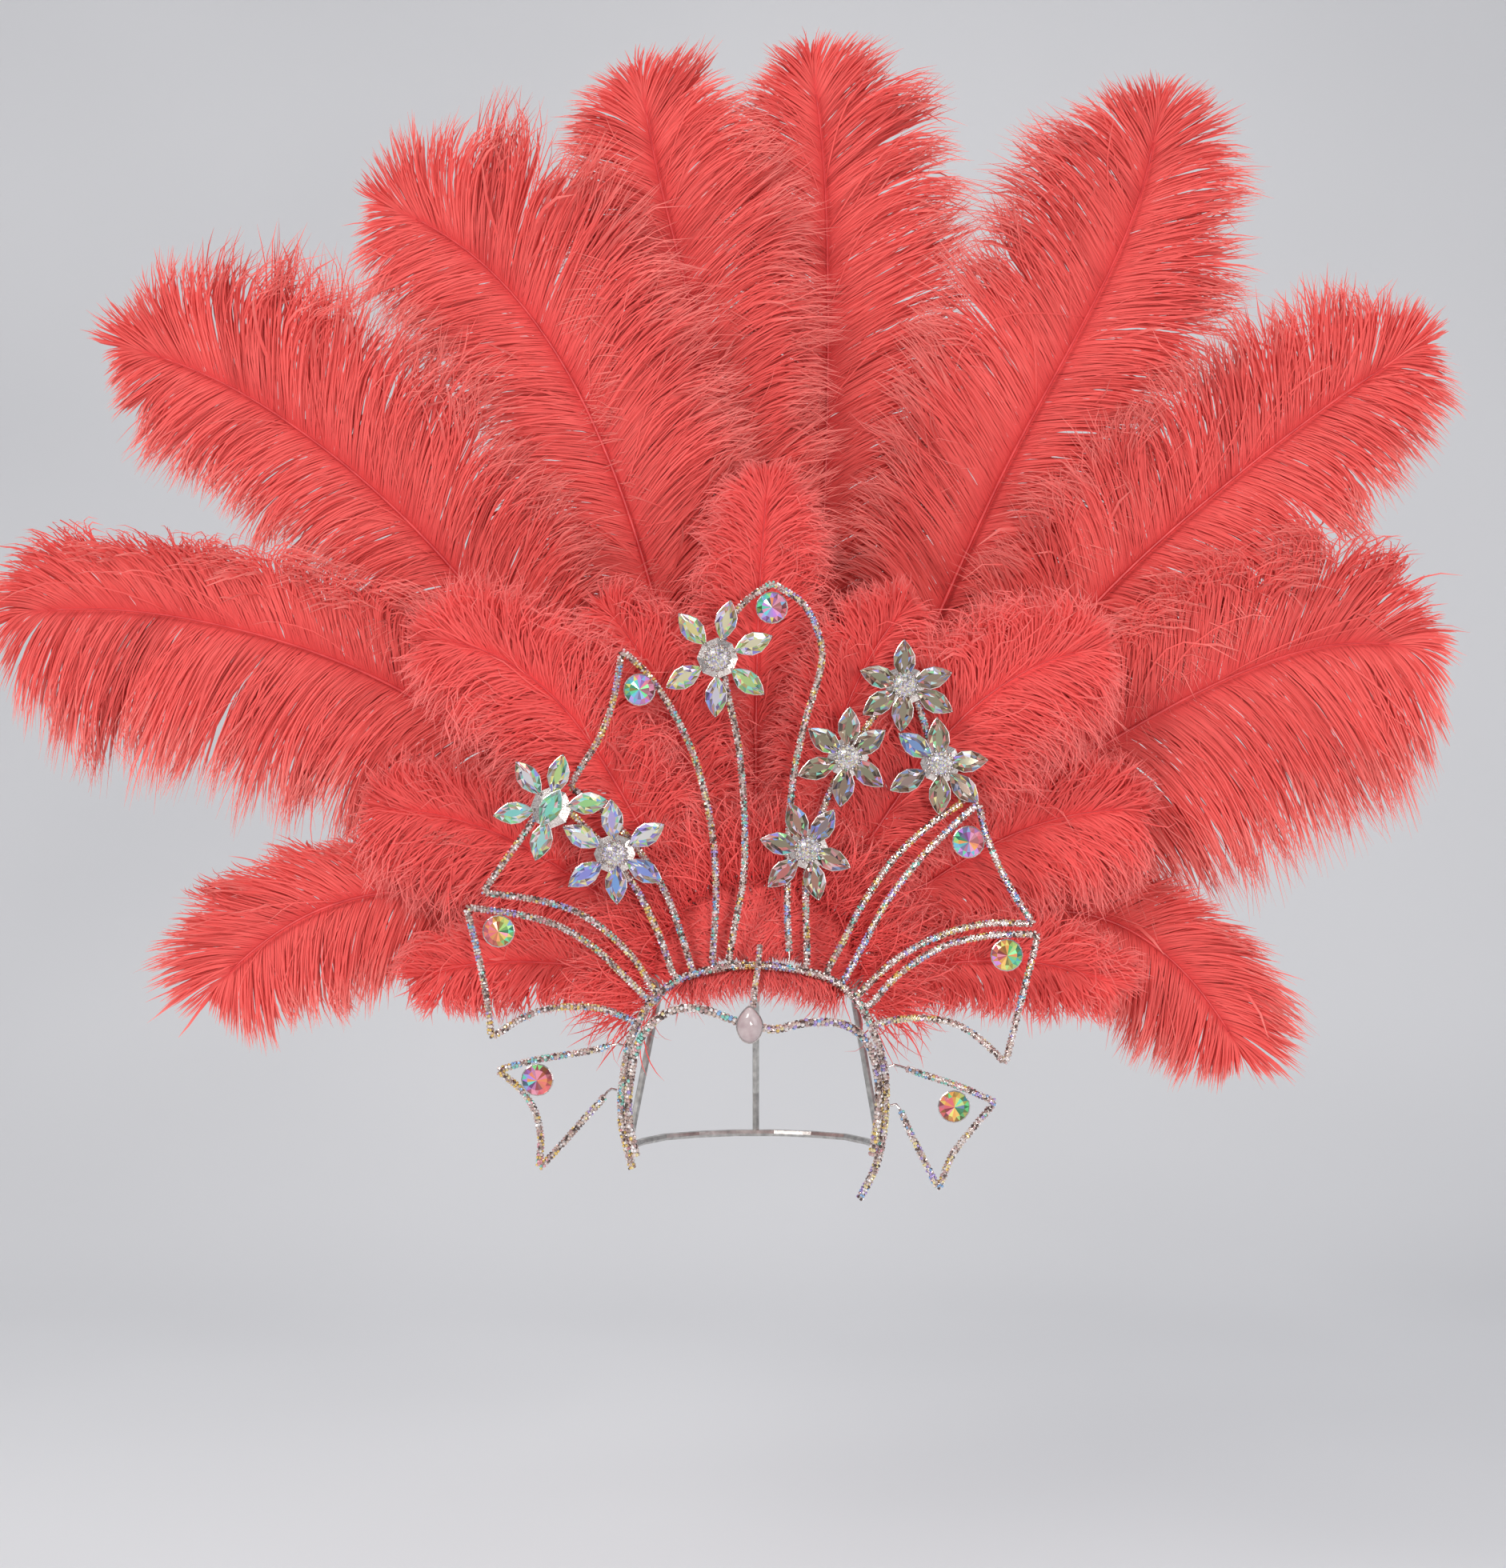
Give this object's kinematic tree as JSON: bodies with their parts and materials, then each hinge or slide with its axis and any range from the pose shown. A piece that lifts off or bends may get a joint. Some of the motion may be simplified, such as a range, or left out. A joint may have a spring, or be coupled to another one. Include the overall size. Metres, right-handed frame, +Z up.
{
  "type": "feather headdress",
  "caption": "Tall showgirl headdress: an open frame of rhinestone rope with stone flowers, backed by a fan of long drooping ostrich plumes.",
  "frame": {"origin": "top of the wearer's head, midway between the ears, just under the front arch", "axes": "+X to the right as seen from the front, -Y the way the wearer faces, +Z up"},
  "size_m": [1.0231, 0.2145, 0.8083],
  "materials": {
    "rhinestone_rope": "wire wound with small faceted crystals that throw coloured sparks",
    "crystal_stone": "cut crystal with an iridescent coat",
    "milky_stone": "smooth pale pink cabochon",
    "back_wire": "plain silver wire",
    "red_plume": "soft dyed ostrich plume with drooping barbs",
    "red_tuft": "soft dyed ostrich fluff"
  },
  "bodies": {
    "root": {"back_frame": "back_wire", "brow_drop": "milky_stone", "brow_strand": "rhinestone_rope", "center_strand": "rhinestone_rope", "crown_arch": "rhinestone_rope", "flower_low_right": "crystal_stone", "flower_mid_left": "crystal_stone", "flower_mid_right": "crystal_stone", "flower_side_left": "crystal_stone", "flower_side_right": "crystal_stone", "flower_top": "crystal_stone", "flower_upper_right": "crystal_stone", "petal_center": "rhinestone_rope", "petal_ear_left": "rhinestone_rope", "petal_ear_right": "rhinestone_rope", "petal_lower_left": "rhinestone_rope", "petal_lower_right": "rhinestone_rope", "petal_side_left": "rhinestone_rope", "petal_side_right": "rhinestone_rope", "petal_upper_left": "rhinestone_rope", "petal_upper_right": "rhinestone_rope", "plume_left": "red_plume", "plume_low_left": "red_plume", "plume_low_right": "red_plume", "plume_right": "red_plume", "plume_side_left": "red_plume", "plume_side_right": "red_plume", "plume_top_center": "red_plume", "plume_top_left": "red_plume", "plume_upper_left": "red_plume", "plume_upper_right": "red_plume", "rivoli_center": "crystal_stone", "rivoli_ear_left": "crystal_stone", "rivoli_ear_right": "crystal_stone", "rivoli_lower_left": "crystal_stone", "rivoli_lower_right": "crystal_stone", "rivoli_side_right": "crystal_stone", "rivoli_upper_left": "crystal_stone", "tuft_center_left": "red_tuft", "tuft_center_right": "red_tuft", "tuft_low_left": "red_tuft", "tuft_low_right": "red_tuft", "tuft_mid_left": "red_tuft", "tuft_mid_right": "red_tuft", "tuft_top": "red_tuft", "tuft_upper_left": "red_tuft", "tuft_upper_right": "red_tuft"}
  },
  "joints": []
}
